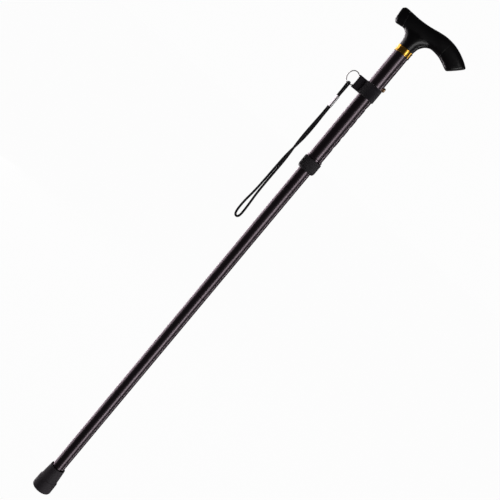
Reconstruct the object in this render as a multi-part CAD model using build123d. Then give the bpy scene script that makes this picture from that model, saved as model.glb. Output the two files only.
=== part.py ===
"""Folding, height-adjustable single point cane with a derby handle and a wrist lanyard.

Millimetres, +Z up. The origin is the centre of the rubber tip's ground face, and the
handle's nose points along +X. The cane is at its shortest setting and unfolded.
"""

from build123d import *
import math
import os

os.makedirs("parts", exist_ok=True)

# Overall heights along the shaft, from the ground face up.
FOOT_LENGTH = 188.0          # ground to the lowest fold joint
LOWER_LENGTH = 184.0         # lowest fold joint to the middle one
MIDDLE_LENGTH = 195.0        # middle fold joint to the highest one
EXPOSED_LENGTH = 31.5        # highest fold joint to the lock collar
COLLAR_HEIGHT = 18.8
LIP_HEIGHT = 3.2
UPPER_VISIBLE = 178.0        # lip to the gold ring
RING_HEIGHT = 9.0

# Tubes.
LOWER_R = 9.525              # 3/4 inch lower tubes
LOWER_WALL = 1.1
TELESCOPE_GAP = 0.475        # radial, between the extension tube and the upper tube's bore
OUTER_WALL = 1.1             # of the upper tube, 7/8 inch outside
JOINT_GAP = 0.3              # face to face gap at each fold joint
RUNNING_FIT = 0.07           # radial, between parts that slide or turn in each other
SEAT_FIT = 0.05              # radial, between parts that stay together
FREE_FIT = 0.3               # radial, between parts that never touch

# Fold joints.
SLEEVE_LENGTH = 28.0
SLEEVE_WALL = 1.3
NECK_LIP = 1.525             # each lower tube's mouth is closed in by this much
NECK_DEPTH = 1.4
CORD_R = 2.0                 # elastic shock cord

# Height adjustment.
HOLE_COUNT = 7
HOLE_PITCH = 16.93
BUTTON_R = 3.2
BUTTON_PROUD = 3.6
BUTTON_FOOT = 0.825          # button's flat back inside the extension tube's bore
BUTTON_ABOVE_STRAP = 0.3     # gap between the strap's top edge and the button
SPRING_THICK = 0.6
SPRING_WIDTH = 6.0
SPRING_HEIGHT = 38.0
TUBE_ABOVE_BUTTON = 20.0
BUSH_FLANGE = 4.0
BUSH_PLUG = 11.0
BUSH_WALL = 2.425
ANCHOR_BELOW_BUTTON = 56.0
ANCHOR_HEIGHT = 8.0
KNOT_SWELL = 2.2             # knot's radius over the cord's

# Lock collar and the collet inside it.
COLLAR_WALL = 1.05
COLLAR_CHAMFER = 3.4
COLLAR_FLOOR = 1.8
COLLET_WALL = 0.85           # threaded part, round the upper tube
COLLET_TOE_WALL = 1.775      # slotted toe, round the extension tube
COLLET_FLOOR = 3.5
COLLET_SLOT = 1.2
LIP_WALL = 1.1

# Strap band with its tab, split ring and lanyard.
STRAP_HEIGHT = 20.0
STRAP_BELOW_RING = 54.0      # strap's top edge below the gold ring
STRAP_THICK = 1.45
TAB_LENGTH = 13.3            # tab's edge beyond the upper tube's surface
TAB_THICK = 3.2
SPLIT_RING_R = 9.8           # wire centreline
SPLIT_WIRE_R = 0.7
SPLIT_AXIS_IN = 2.3          # ring's swivel axis inside the tab's edge
SPLIT_TURN = 36.0            # degrees the ring hangs turned towards -Y
SPLIT_CLEAR = 0.4
LOOP_R = 1.3
WRIST_R = 1.5
CRIMP_LENGTH = 18.0
CRIMP_DROP = 21.0            # ring's lowest wire to the crimp's top
CRIMP_SPREAD = 1.8           # half the distance between the crimp's two lobes
CRIMP_LOBE_R = 2.1

# Handle.
STEM_LENGTH = 23.5
GRIP_CORNER = 0.4            # corner radius of the grip, as a share of the section's side
CAP_GAP = 0.25
TAIL_SEAM_X = -24.0
NOSE_SEAM_X = 41.0
PEG_R = 4.5
PEG_LENGTH = 8.0
PIN_R = 1.5
RING_PROUD = 0.55

# Rubber tip.
TIP_HEIGHT = 41.5
TIP_FLOOR = 12.0
TIP_BASE_WALL = 5.475
TIP_FLANGE_TOP = 19.5
TIP_STEP_WALL = 3.475
TIP_STEP_TOP = 25.5
TIP_RIM_WALL = 1.575
WASHER_THICK = 1.5
GROOVE_COUNT = 3
GROOVE_PITCH = 3.0
GROOVE_EDGE = 3.5            # outermost groove inside the base's edge
GROOVE_WIDTH = 1.4
GROOVE_DEPTH = 1.5

# Heights and radii that follow from the sizes above.
JOINT_LOW = FOOT_LENGTH
JOINT_MID = JOINT_LOW + LOWER_LENGTH
JOINT_HIGH = JOINT_MID + MIDDLE_LENGTH
COLLAR_LOW = JOINT_HIGH + EXPOSED_LENGTH
COLLAR_TOP = COLLAR_LOW + COLLAR_HEIGHT
LIP_TOP = COLLAR_TOP + LIP_HEIGHT
RING_LOW = LIP_TOP + UPPER_VISIBLE
RING_TOP = RING_LOW + RING_HEIGHT
LOWER_BORE = LOWER_R - LOWER_WALL
OUTER_BORE = LOWER_R + TELESCOPE_GAP
OUTER_R = OUTER_BORE + OUTER_WALL
SLEEVE_R = LOWER_BORE - RUNNING_FIT
NECK_R = LOWER_BORE - NECK_LIP
BUSH_BORE_R = LOWER_BORE - BUSH_WALL
KNOT_R = CORD_R + KNOT_SWELL
COLLET_THREAD_R = OUTER_R + COLLET_WALL
COLLET_TOE_R = LOWER_R + COLLET_TOE_WALL
COLLAR_R = COLLET_THREAD_R + FREE_FIT + COLLAR_WALL
LIP_R = OUTER_R + LIP_WALL
TIP_BASE_R = LOWER_R + TIP_BASE_WALL
TIP_STEP_R = LOWER_R + TIP_STEP_WALL
TIP_RIM_R = LOWER_R + TIP_RIM_WALL
TAB_REACH = OUTER_R + TAB_LENGTH
SPLIT_AXIS_X = -(TAB_REACH - SPLIT_AXIS_IN)
STRAP_TOP = RING_LOW - STRAP_BELOW_RING
STRAP_LOW = STRAP_TOP - STRAP_HEIGHT
STRAP_MID = STRAP_LOW + STRAP_HEIGHT / 2
BUTTON_Z = STRAP_TOP + BUTTON_ABOVE_STRAP + BUTTON_R
BUTTON_TIP = OUTER_R + BUTTON_PROUD
BUTTON_BACK = LOWER_BORE - BUTTON_FOOT
EXTENSION_TOP = BUTTON_Z + TUBE_ABOVE_BUTTON
ANCHOR_TOP = BUTTON_Z - ANCHOR_BELOW_BUTTON
COLLET_LOW = COLLAR_LOW + COLLAR_FLOOR + FREE_FIT
OUTER_LOW = COLLET_LOW + COLLET_FLOOR


def keep(name, shape):
    """Write one piece to its STEP file."""
    shape.label = name
    export_step(shape, f"parts/{name}.step")


def rod(radius, low, high, x=0.0, y=0.0):
    """A solid round bar along Z between two heights."""
    return Pos(x, y, (low + high) / 2) * Cylinder(radius, high - low)


def pipe(outer, inner, low, high):
    """A round tube along Z between two heights."""
    return rod(outer, low, high) - rod(inner, low - 1, high + 1)


def turned(points):
    """A solid turned about Z from its half section, given as (radius, height) points."""
    section = make_face(Polyline(*[(r, 0, z) for r, z in points], close=True))
    return revolve(section, Axis.Z, 360)


def cross_bar(radius, x_from, x_to, z):
    """A solid round bar along X at one height."""
    return Pos((x_from + x_to) / 2, 0, z) * Rot(0, 90, 0) * Cylinder(radius, x_to - x_from)


def corner_radii(points, share=0.45):
    """The largest arc for each corner of a route: a share of its shorter run over the
    tangent of half its turn."""
    radii = []
    for before, here, after in zip(points, points[1:], points[2:]):
        run_in = Vector(*here) - Vector(*before)
        run_out = Vector(*after) - Vector(*here)
        half_turn = math.radians(run_in.get_angle(run_out)) / 2
        radii.append(share * min(run_in.length, run_out.length) / math.tan(half_turn))
    return radii


def cord_along(points, radius, name):
    """A round cord on straight runs joined by tangent arcs. It prints its length and radii."""
    radii = corner_radii(points)
    path = FilletPolyline(*points, radius=radii)
    start = Plane(origin=path @ 0, z_dir=path % 0)
    print(name, "length", round(path.length, 1), "radii", [round(r, 1) for r in radii])
    solid = sweep(start * Circle(radius), path=path)
    print(name, "volume share", round(solid.volume / (math.pi * radius**2 * path.length), 4))
    return solid


# --- Handle: a moulded derby grip whose stem plugs into the upper tube. -----------------


GRIP_SECTIONS = [
    # distance along X, underside and top above the gold ring, depth across the hand
    (-37.4, 21.5, 38.8, 14.0),
    (-36.0, 18.9, 41.0, 18.5),
    (-32.0, 18.2, 42.2, 22.0),
    (-24.0, 19.4, 41.8, 24.3),
    (-10.0, 20.2, 41.4, 25.0),
    (10.0, 20.6, 43.2, 25.0),
    (29.7, 20.8, 45.7, 25.0),
    (41.0, 19.2, 45.0, 25.0),
    (50.0, 15.9, 43.4, 24.6),
    (58.5, 12.6, 40.6, 23.6),
    (65.0, 16.8, 37.8, 21.4),
    (72.0, 22.2, 34.6, 16.6),
    (78.6, 27.2, 30.4, 7.0),
]


def grip_bar():
    """The grip bar: rounded sections square to X, joined from the tail to the nose."""
    faces = []
    for x, low, high, depth in GRIP_SECTIONS:
        size = min(high - low, depth)
        face = RectangleRounded(depth, high - low, GRIP_CORNER * size)
        plane = Plane(origin=(x, 0, RING_TOP + (low + high) / 2), x_dir=(0, 1, 0), z_dir=(1, 0, 0))
        faces.append(plane * face)
    return loft(Sketch() + faces, ruled=True)


def grip_neck():
    """Lofted neck from the round tube size to the bar's underside."""
    sections = [
        (0.0, 0.0, OUTER_R, OUTER_R),
        (7.0, 0.4, OUTER_R + 0.7, OUTER_R + 0.3),
        (13.0, 0.6, OUTER_R + 2.8, OUTER_R + 0.6),
        (18.0, 1.6, OUTER_R + 8.0, OUTER_R + 0.8),
        (24.0, 3.0, OUTER_R + 13.0, OUTER_R + 0.6),
    ]
    faces = [Pos(x, 0, RING_TOP + z) * Ellipse(a, b) for z, x, a, b in sections]
    return loft(Sketch() + faces)


def halves(solid, x_low, x_high):
    """The stretch of a solid between two planes square to X."""
    middle = (x_low + x_high) / 2
    return solid & Pos(middle, 0, RING_TOP + 25) * Box(x_high - x_low, 80, 80)


def handle():
    bar = grip_bar()
    peg_z = RING_TOP + 30
    tail_peg = cross_bar(PEG_R, TAIL_SEAM_X - PEG_LENGTH, TAIL_SEAM_X + CAP_GAP, peg_z)
    nose_peg = cross_bar(PEG_R, NOSE_SEAM_X - CAP_GAP, NOSE_SEAM_X + PEG_LENGTH, peg_z)
    tail_socket = cross_bar(
        PEG_R + SEAT_FIT, TAIL_SEAM_X - PEG_LENGTH - CAP_GAP, TAIL_SEAM_X + CAP_GAP, peg_z
    )
    nose_socket = cross_bar(
        PEG_R + SEAT_FIT, NOSE_SEAM_X - CAP_GAP, NOSE_SEAM_X + PEG_LENGTH + CAP_GAP, peg_z
    )
    stem = rod(OUTER_BORE - SEAT_FIT, RING_TOP - STEM_LENGTH, RING_TOP + 5)
    pin_z = RING_LOW + RING_HEIGHT / 2
    pin_hole = Pos(0, 0, pin_z) * Rot(90, 0, 0) * Cylinder(PIN_R + SEAT_FIT, 3 * OUTER_R)
    body = halves(bar, TAIL_SEAM_X, NOSE_SEAM_X) + grip_neck() + stem
    body = body + tail_peg + nose_peg - pin_hole
    keep("handle_body", body)
    keep("handle_tail_cap", halves(bar, -60, TAIL_SEAM_X - CAP_GAP) - tail_socket)
    keep("handle_nose_cap", halves(bar, NOSE_SEAM_X + CAP_GAP, 110) - nose_socket)
    pin_half = math.sqrt(OUTER_R**2 - PIN_R**2)
    keep("handle_pin", Pos(0, 0, pin_z) * Rot(90, 0, 0) * Cylinder(PIN_R, 2 * pin_half))
    return pin_hole


# --- Upper tube, its gold ring and the lock at its lower end. ---------------------------


def upper_tube(pin_hole):
    tube = pipe(OUTER_R, OUTER_BORE, OUTER_LOW, RING_TOP) - pin_hole
    for index in range(HOLE_COUNT):
        hole_z = BUTTON_Z - index * HOLE_PITCH
        tube -= cross_bar(BUTTON_R + FREE_FIT, 0, OUTER_R + 1, hole_z)
    keep("upper_tube", tube)
    inner = OUTER_R + SEAT_FIT
    outer = OUTER_R + RING_PROUD
    ring = turned([
        (inner, RING_LOW), (outer, RING_LOW), (outer + 0.25, RING_LOW + 1.2),
        (outer, RING_LOW + 2.2), (outer, RING_TOP - 2.2), (outer + 0.25, RING_TOP - 1.2),
        (outer, RING_TOP), (inner, RING_TOP),
    ])
    keep("collar_ring", ring)


def lock():
    bore = LOWER_R + RUNNING_FIT
    collet = turned([
        (bore, COLLET_LOW), (COLLET_TOE_R - 0.9, COLLET_LOW), (COLLET_TOE_R, COLLET_LOW + 2),
        (COLLET_THREAD_R, OUTER_LOW + 1), (COLLET_THREAD_R, COLLAR_TOP + 0.2),
        (LIP_R - 0.5, COLLAR_TOP + 0.2), (LIP_R, COLLAR_TOP + 1.0), (LIP_R, LIP_TOP - 0.8),
        (OUTER_R + 0.5, LIP_TOP), (OUTER_R + SEAT_FIT, LIP_TOP),
        (OUTER_R + SEAT_FIT, OUTER_LOW), (bore, OUTER_LOW),
    ])
    slot_height = OUTER_LOW - COLLET_LOW - 0.6
    slot = Pos(0, 0, COLLET_LOW + slot_height / 2) * Box(40, COLLET_SLOT, slot_height)
    keep("lock_collet", collet - slot - Rot(0, 0, 90) * slot)
    cavity = COLLET_THREAD_R + FREE_FIT
    floor_top = COLLAR_LOW + COLLAR_FLOOR
    mouth = LOWER_R + FREE_FIT
    collar = turned([
        (mouth, COLLAR_LOW), (COLLAR_R - 1.9, COLLAR_LOW),
        (COLLAR_R, COLLAR_LOW + COLLAR_CHAMFER), (COLLAR_R, COLLAR_TOP - 0.5),
        (COLLAR_R - 0.5, COLLAR_TOP), (cavity, COLLAR_TOP), (cavity, floor_top),
        (mouth, floor_top),
    ])
    keep("lock_collar", collar)


# --- Extension tube with the snap button and the cord's upper anchor. -------------------


def extension():
    tube = pipe(LOWER_R, LOWER_BORE, JOINT_HIGH, EXTENSION_TOP)
    tube -= cross_bar(BUTTON_R + FREE_FIT, 0, LOWER_R + 1, BUTTON_Z)
    keep("extension_tube", tube)
    plug = LOWER_BORE - SEAT_FIT
    flange = OUTER_BORE - RUNNING_FIT
    bush = rod(flange, EXTENSION_TOP, EXTENSION_TOP + BUSH_FLANGE)
    bush += rod(plug, EXTENSION_TOP - BUSH_PLUG, EXTENSION_TOP)
    bush -= rod(BUSH_BORE_R, EXTENSION_TOP - 50, EXTENSION_TOP + 50)
    keep("glide_bush", bush)
    hole = rod(CORD_R + SEAT_FIT, ANCHOR_TOP - 50, ANCHOR_TOP + 50)
    keep("cord_anchor_top", rod(plug, ANCHOR_TOP - ANCHOR_HEIGHT, ANCHOR_TOP) - hole)
    knot = Pos(0, 0, ANCHOR_TOP + KNOT_R * 0.8) * Sphere(KNOT_R)
    keep("cord_knot_top", knot & rod(KNOT_R, ANCHOR_TOP, ANCHOR_TOP + 2 * KNOT_R))


def button():
    shank = cross_bar(BUTTON_R, BUTTON_BACK, BUTTON_TIP, BUTTON_Z)
    rim = shank.edges().sort_by(Axis.X)[-1]
    keep("snap_button", fillet(rim, BUTTON_R * 0.55))
    front = BUTTON_BACK - SPRING_THICK / 2 - SEAT_FIT
    room = math.sqrt(LOWER_BORE**2 - (SPRING_WIDTH / 2) ** 2)
    rear = -room + SPRING_THICK / 2 + FREE_FIT
    bend_z = BUTTON_Z + BUTTON_R + 2 - SPRING_HEIGHT
    leaf = FilletPolyline(
        (front, 0, BUTTON_Z + BUTTON_R + 2), (front, 0, BUTTON_Z - BUTTON_R - 2),
        (1.5, 0, bend_z), (rear, 0, bend_z + 6), (rear, 0, BUTTON_Z + BUTTON_R),
        radius=2.5,
    )
    strip = Plane(origin=leaf @ 0, x_dir=(0, 1, 0), z_dir=leaf % 0)
    spring = sweep(strip * Rectangle(SPRING_WIDTH, SPRING_THICK), path=leaf)
    keep("button_spring", spring)


# --- Fold joints, lower tubes and the elastic shock cord that holds them together. ------


def fold_sleeve(index, joint_z):
    """The close-fitting sleeve that bridges one joint, with the cord that runs through it."""
    bore = SLEEVE_R - SLEEVE_WALL
    top = joint_z + SLEEVE_LENGTH
    sleeve = turned([
        (bore, joint_z), (SLEEVE_R, joint_z), (SLEEVE_R, top - 1.5),
        (SLEEVE_R - 1.0, top), (bore, top),
    ])
    keep(f"fold_sleeve_{index}", sleeve)
    keep(f"sleeve_cord_{index}", rod(CORD_R, joint_z, top))


def lower_tube(name, low, joint_z):
    """A lower tube from its open bottom to its closed-in mouth just under a joint."""
    top = joint_z - JOINT_GAP
    tube = turned([
        (LOWER_BORE, low), (LOWER_R, low), (LOWER_R, top - 0.5), (LOWER_R - 0.5, top),
        (NECK_R, top), (NECK_R, top - NECK_DEPTH), (LOWER_BORE, top - NECK_DEPTH),
    ])
    keep(name, tube)


def shafts():
    foot_low = TIP_FLOOR + WASHER_THICK
    lower_tube("middle_tube", JOINT_MID, JOINT_HIGH)
    lower_tube("lower_tube", JOINT_LOW, JOINT_MID)
    lower_tube("foot_tube", foot_low, JOINT_LOW)
    for index, joint_z in enumerate((JOINT_HIGH, JOINT_MID, JOINT_LOW), start=1):
        fold_sleeve(index, joint_z)
    washer_z = TIP_HEIGHT + 8
    spans = {
        "shock_cord_top": (JOINT_HIGH + SLEEVE_LENGTH, ANCHOR_TOP),
        "shock_cord_middle": (JOINT_MID + SLEEVE_LENGTH, JOINT_HIGH - JOINT_GAP),
        "shock_cord_lower": (JOINT_LOW + SLEEVE_LENGTH, JOINT_MID - JOINT_GAP),
        "shock_cord_foot": (washer_z, JOINT_LOW - JOINT_GAP),
    }
    for name, (low, high) in spans.items():
        keep(name, rod(CORD_R, low, high))
    plug = LOWER_BORE - SEAT_FIT
    hole = rod(CORD_R + SEAT_FIT, 0, JOINT_LOW)
    anchor = rod(plug, washer_z, washer_z + ANCHOR_HEIGHT) - hole
    keep("cord_anchor_bottom", anchor)
    knot = Pos(0, 0, washer_z - KNOT_R * 0.8) * Sphere(KNOT_R)
    keep("cord_knot_bottom", knot & rod(KNOT_R, washer_z - 2 * KNOT_R, washer_z))


def rubber_tip():
    socket = LOWER_R + SEAT_FIT
    tip = turned([
        (0, 0), (TIP_BASE_R - 1.0, 0), (TIP_BASE_R, 1.0), (TIP_BASE_R - 0.3, TIP_FLANGE_TOP - 1.2),
        (TIP_BASE_R - 1.2, TIP_FLANGE_TOP), (TIP_STEP_R + 0.2, TIP_FLANGE_TOP + 0.6),
        (TIP_STEP_R, TIP_STEP_TOP), (TIP_RIM_R + 0.3, TIP_HEIGHT - 1.5),
        (TIP_RIM_R - 0.2, TIP_HEIGHT), (socket, TIP_HEIGHT), (socket, TIP_FLOOR), (0, TIP_FLOOR),
    ])
    for index in range(GROOVE_COUNT):
        radius = TIP_BASE_R - GROOVE_EDGE - index * GROOVE_PITCH
        tip -= pipe(radius + GROOVE_WIDTH / 2, radius - GROOVE_WIDTH / 2, 0, GROOVE_DEPTH)
    keep("rubber_tip", tip)
    keep("tip_washer", rod(LOWER_R - SEAT_FIT, TIP_FLOOR, TIP_FLOOR + WASHER_THICK))


# --- Strap band, split ring and wrist lanyard. ------------------------------------------


def swivel_room():
    """The space that the split ring's wire sweeps as it swivels about its vertical axis."""
    reach = SPLIT_RING_R - 1.2
    heights = [reach * k / 8 for k in range(-8, 9)]
    gap = SPLIT_WIRE_R + SPLIT_CLEAR
    edge = [(SPLIT_RING_R - math.sqrt(SPLIT_RING_R**2 - h**2) + gap, h) for h in heights]
    room = turned([(0, -reach)] + edge + [(0, reach)])
    return Pos(SPLIT_AXIS_X, 0, STRAP_MID) * room


def strap():
    inner = OUTER_R + SEAT_FIT
    outer = inner + STRAP_THICK
    band = pipe(outer, inner, STRAP_LOW, STRAP_TOP)
    tab_length = TAB_REACH - OUTER_R - STRAP_THICK / 2
    tab_x = -TAB_REACH + tab_length / 2
    tab = Pos(tab_x, 0, STRAP_MID) * Box(tab_length, TAB_THICK, STRAP_HEIGHT)
    keep("strap_band", band + tab - swivel_room())


def split_ring_frame():
    """The ring's plane: centre, outward direction and the level direction square to it."""
    turn = math.radians(SPLIT_TURN)
    outward = Vector(-math.cos(turn), -math.sin(turn), 0)
    centre = Vector(SPLIT_AXIS_X, 0, STRAP_MID) + outward * SPLIT_RING_R
    return centre, outward, Vector(math.sin(turn), -math.cos(turn), 0)


def lanyard():
    centre, outward, side = split_ring_frame()
    ring_plane = Plane(origin=centre, x_dir=outward, z_dir=side)
    keep("split_ring", ring_plane * Torus(SPLIT_RING_R, SPLIT_WIRE_R))
    hang = centre - Vector(0, 0, SPLIT_RING_R)
    crimp_top = hang.Z - CRIMP_DROP
    crimp_low = crimp_top - CRIMP_LENGTH
    lobes = [hang + side * s * CRIMP_SPREAD for s in (-1, 1)]
    crimp = rod(CRIMP_LOBE_R, crimp_low, crimp_top, lobes[0].X, lobes[0].Y)
    crimp += rod(CRIMP_LOBE_R, crimp_low, crimp_top, lobes[1].X, lobes[1].Y)
    keep("lanyard_crimp", crimp)

    # Small loop: up one side, over the split ring's wire and down the other side.
    over = SPLIT_WIRE_R + SPLIT_CLEAR + LOOP_R
    small = [
        (-CRIMP_SPREAD, crimp_top), (-2.0, hang.Z - 12), (-2.5, hang.Z - 4),
        (-2.5, hang.Z + 1.0), (-1.6, hang.Z + over), (1.6, hang.Z + over),
        (2.5, hang.Z + 1.0), (2.5, hang.Z - 4), (2.1, hang.Z - 13), (CRIMP_SPREAD, crimp_top),
    ]
    points = [tuple(Vector(hang.X, hang.Y, z) + side * s) for s, z in small]
    keep("lanyard_loop", cord_along(points, LOOP_R, "lanyard_loop"))

    # Wrist loop: both strands hang side by side, turn over once and open into an eye.
    x, y = hang.X, hang.Y
    wrist = [
        (lobes[0].X, lobes[0].Y, crimp_low), (x - 1.6, y + 1.0, crimp_low - 17),
        (x - 2.1, y + 0.1, crimp_low - 40), (x - 2.0, y - 1.3, crimp_low - 56),
        (x - 1.0, y - 1.9, crimp_low - 71), (x + 0.2, y - 1.3, crimp_low - 86),
        (x + 0.5, y - 0.3, crimp_low - 106), (x + 0.2, y - 0.1, crimp_low - 132),
        (x + 0.7, y, crimp_low - 155), (x + 1.4, y, crimp_low - 175),
        (x + 1.0, y, crimp_low - 190), (x - 6.6, y, crimp_low - 190),
        (x - 7.0, y, crimp_low - 174), (x - 5.4, y, crimp_low - 154),
        (x - 3.6, y + 0.3, crimp_low - 131), (x - 3.1, y + 0.2, crimp_low - 106),
        (x - 2.3, y + 1.0, crimp_low - 86), (x - 0.9, y + 1.7, crimp_low - 71),
        (x + 0.6, y + 1.2, crimp_low - 56), (x + 1.5, y + 0.1, crimp_low - 40),
        (x + 1.4, y - 0.8, crimp_low - 17), (lobes[1].X, lobes[1].Y, crimp_low),
    ]
    keep("wrist_loop", cord_along(wrist, WRIST_R, "wrist_loop"))
    print("hang", hang, "crimp", crimp_low, crimp_top)


upper_tube(handle())
lock()
extension()
button()
shafts()
rubber_tip()
strap()
lanyard()
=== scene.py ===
"""Folding derby cane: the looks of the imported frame, piece by piece from the camera down."""

import bmesh
import bpy
import math
import numpy as np
from mathutils import Matrix, Vector


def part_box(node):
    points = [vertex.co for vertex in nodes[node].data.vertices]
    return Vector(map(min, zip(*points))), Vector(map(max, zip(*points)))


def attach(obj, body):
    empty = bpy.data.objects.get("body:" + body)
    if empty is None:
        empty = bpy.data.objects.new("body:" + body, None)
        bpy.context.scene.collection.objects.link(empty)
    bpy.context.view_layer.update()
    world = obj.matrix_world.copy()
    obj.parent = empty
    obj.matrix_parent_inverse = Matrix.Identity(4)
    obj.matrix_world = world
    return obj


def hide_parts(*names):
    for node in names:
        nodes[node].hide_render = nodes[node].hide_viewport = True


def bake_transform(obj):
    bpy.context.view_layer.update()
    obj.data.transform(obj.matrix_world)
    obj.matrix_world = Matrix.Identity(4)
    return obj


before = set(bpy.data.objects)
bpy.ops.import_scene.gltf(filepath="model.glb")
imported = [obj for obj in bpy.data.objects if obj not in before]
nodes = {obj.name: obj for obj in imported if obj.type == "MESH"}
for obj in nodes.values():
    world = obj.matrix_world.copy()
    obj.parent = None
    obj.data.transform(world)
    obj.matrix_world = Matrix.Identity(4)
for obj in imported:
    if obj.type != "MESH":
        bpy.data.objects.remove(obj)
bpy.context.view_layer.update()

# ---- Camera ----------------------------------------------------------------------------
# A short portrait lens a little over a metre away, about three quarters of the way up the
# cane and tipped over sideways, so the upright cane runs corner to corner, handle on top.
CAMERA_BACK = 1.20
CAMERA_HEIGHT = 0.631
CAMERA_AIM = Vector((0.012, 0.0, 0.4660))
CAMERA_LEAN = math.radians(39.83)
CAMERA_LENS = 62.9
FILM_WIDTH = 36

camera_place = Vector((CAMERA_AIM.x, -CAMERA_BACK, CAMERA_HEIGHT))
look = (CAMERA_AIM - camera_place).normalized()
level = look.cross(Vector((0, 0, 1))).normalized()
upright = level.cross(look)
across = level * math.cos(CAMERA_LEAN) + upright * math.sin(CAMERA_LEAN)
over = upright * math.cos(CAMERA_LEAN) - level * math.sin(CAMERA_LEAN)
camera_data = bpy.data.cameras.new("camera")
camera_data.lens = CAMERA_LENS
camera_data.sensor_width = FILM_WIDTH
camera = bpy.data.objects.new("camera", camera_data)
camera.matrix_world = Matrix.Translation(camera_place) @ Matrix(
    (across, over, -look)).transposed().to_4x4()
bpy.context.scene.collection.objects.link(camera)
bpy.context.scene.camera = camera

# ---- Wrist lanyard ---------------------------------------------------------------------
# Two lengths of round braided polyester cord: a small loop over the split ring's wire and
# a long wrist loop, both caught in a two-lobed aluminium crimp. They hang under their own
# weight, and the wrist loop's strands turn over once before they open into an eye.
CORD_SMALL = 0.0028
CORD_WRIST = 0.0033
BRAID_TURN = 0.0021          # cord length of one diamond of the braid
RING_RADIUS = 0.0098
WIRE_RADIUS = 0.0007

ring_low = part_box("split_ring")[0]
crimp_low, crimp_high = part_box("lanyard_crimp")
hang = Vector(((crimp_low.x + crimp_high.x) / 2, (crimp_low.y + crimp_high.y) / 2,
               ring_low.z + WIRE_RADIUS))
strap_low, strap_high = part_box("strap_band")
ring_centre = hang + Vector((0, 0, RING_RADIUS))
swivel = Vector((-0.0221, 0, hang.z + RING_RADIUS))
outward = (ring_centre - swivel).normalized()
side = outward.cross(Vector((0, 0, 1)))
side = -side if side.y > 0 else side


def nurbs_line(points):
    """Points along the smooth quadratic NURBS spline whose control points are given."""
    curve = bpy.data.curves.new("route", "CURVE")
    curve.dimensions = "3D"
    spline = curve.splines.new("NURBS")
    spline.points.add(len(points) - 1)
    spline.points.foreach_set("co", [c for p in points for c in (*p, 1.0)])
    spline.order_u = 3
    spline.use_endpoint_u = True
    spline.resolution_u = 24
    holder = bpy.data.objects.new("route", curve)
    mesh = bpy.data.meshes.new_from_object(holder)
    line = np.array([v.co for v in mesh.vertices], float)
    bpy.data.objects.remove(holder)
    bpy.data.curves.remove(curve)
    bpy.data.meshes.remove(mesh)
    return line


def even_line(line, step):
    """The same line with its points a fixed step apart."""
    run = np.r_[0, np.cumsum(np.linalg.norm(np.diff(line, axis=0), axis=1))]
    at = np.linspace(0, run[-1], int(run[-1] / step) + 2)
    return np.stack([np.interp(at, run, line[:, k]) for k in range(3)], axis=1)


def grid_mesh(name, grid, closed_u=False, closed_v=True, uv_scale=(1.0, 1.0), caps=False):
    """A mesh from a grid of points [u, v, xyz]. Rows run along u and columns round v; a
    closed direction joins its last line to its first. The map holds u and v in shares,
    times uv_scale. Caps close the two ends of a tube with a fan to their middle."""
    rows, columns = grid.shape[:2]
    points = grid.reshape(-1, 3)
    row = np.arange(rows if closed_u else rows - 1)[:, None]
    column = np.arange(columns if closed_v else columns - 1)[None, :]
    next_row, next_column = (row + 1) % rows, (column + 1) % columns
    quads = np.stack([row * columns + column, row * columns + next_column,
                      next_row * columns + next_column, next_row * columns + column], -1)
    quads = quads.reshape(-1, 4)
    u, v = np.broadcast_arrays(row, column)
    corners = np.stack([np.stack([u + du, v + dv], -1)
                        for du, dv in ((0, 0), (0, 1), (1, 1), (1, 0))], 2)
    share = corners.reshape(-1, 2) / [max(rows - 1, 1), columns if closed_v else columns - 1]
    faces, maps = [quads.tolist()], [share]
    if caps:
        for ring, middle, flip in ((0, grid[0].mean(0), True), (rows - 1, grid[-1].mean(0), False)):
            hub = len(points)
            points = np.vstack([points, middle])
            around = np.arange(columns)
            first, second = ring * columns + around, ring * columns + (around + 1) % columns
            fan = np.stack([second, first, np.full(columns, hub)] if flip
                           else [first, second, np.full(columns, hub)], 1)
            faces.append(fan.tolist())
            maps.append(np.full((columns * 3, 2), 0.5))
    mesh = bpy.data.meshes.new(name)
    mesh.from_pydata(points.tolist(), [], [f for group in faces for f in group])
    layer = mesh.uv_layers.new(name="surface")
    layer.data.foreach_set("uv", (np.vstack(maps) * uv_scale).ravel())
    mesh.polygons.foreach_set("use_smooth", [True] * len(mesh.polygons))
    mesh.update()
    piece = bpy.data.objects.new(name, mesh)
    bpy.context.scene.collection.objects.link(piece)
    return piece


def line_frames(line, first_side):
    """Two unit vectors square to the line at each of its points, carried along without twist."""
    along = np.gradient(line, axis=0)
    along /= np.linalg.norm(along, axis=1, keepdims=True)
    left = np.empty_like(line)
    current = np.array(first_side, float)
    for i, direction in enumerate(along):
        current = current - direction * (current @ direction)
        current /= np.linalg.norm(current)
        left[i] = current
    return left, np.cross(along, left)


def braided_tube(name, line, diameter, first_side):
    """A tube round a line, radius r(s, a) = d/2 * (1 - 0.05 * braid), where braid is the
    depth between crossing diagonal yarns at length s and angle a."""
    columns = 24
    left, up = line_frames(line, first_side)
    angle = np.linspace(0, 2 * np.pi, columns, endpoint=False)[None, :]
    run = np.r_[0, np.cumsum(np.linalg.norm(np.diff(line, axis=0), axis=1))][:, None]
    yarn = np.sin(4 * angle + 2 * np.pi * run / BRAID_TURN)
    cross_yarn = np.sin(4 * angle - 2 * np.pi * run / BRAID_TURN)
    radius = diameter / 2 * (1 - 0.05 * (0.5 + 0.5 * yarn * cross_yarn))
    grid = (line[:, None] + radius[..., None] * (np.cos(angle)[..., None] * left[:, None]
                                                 + np.sin(angle)[..., None] * up[:, None]))
    tube = grid_mesh(name, grid, uv_scale=(run[-1, 0] / BRAID_TURN, 4), caps=True)
    return tube


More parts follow.
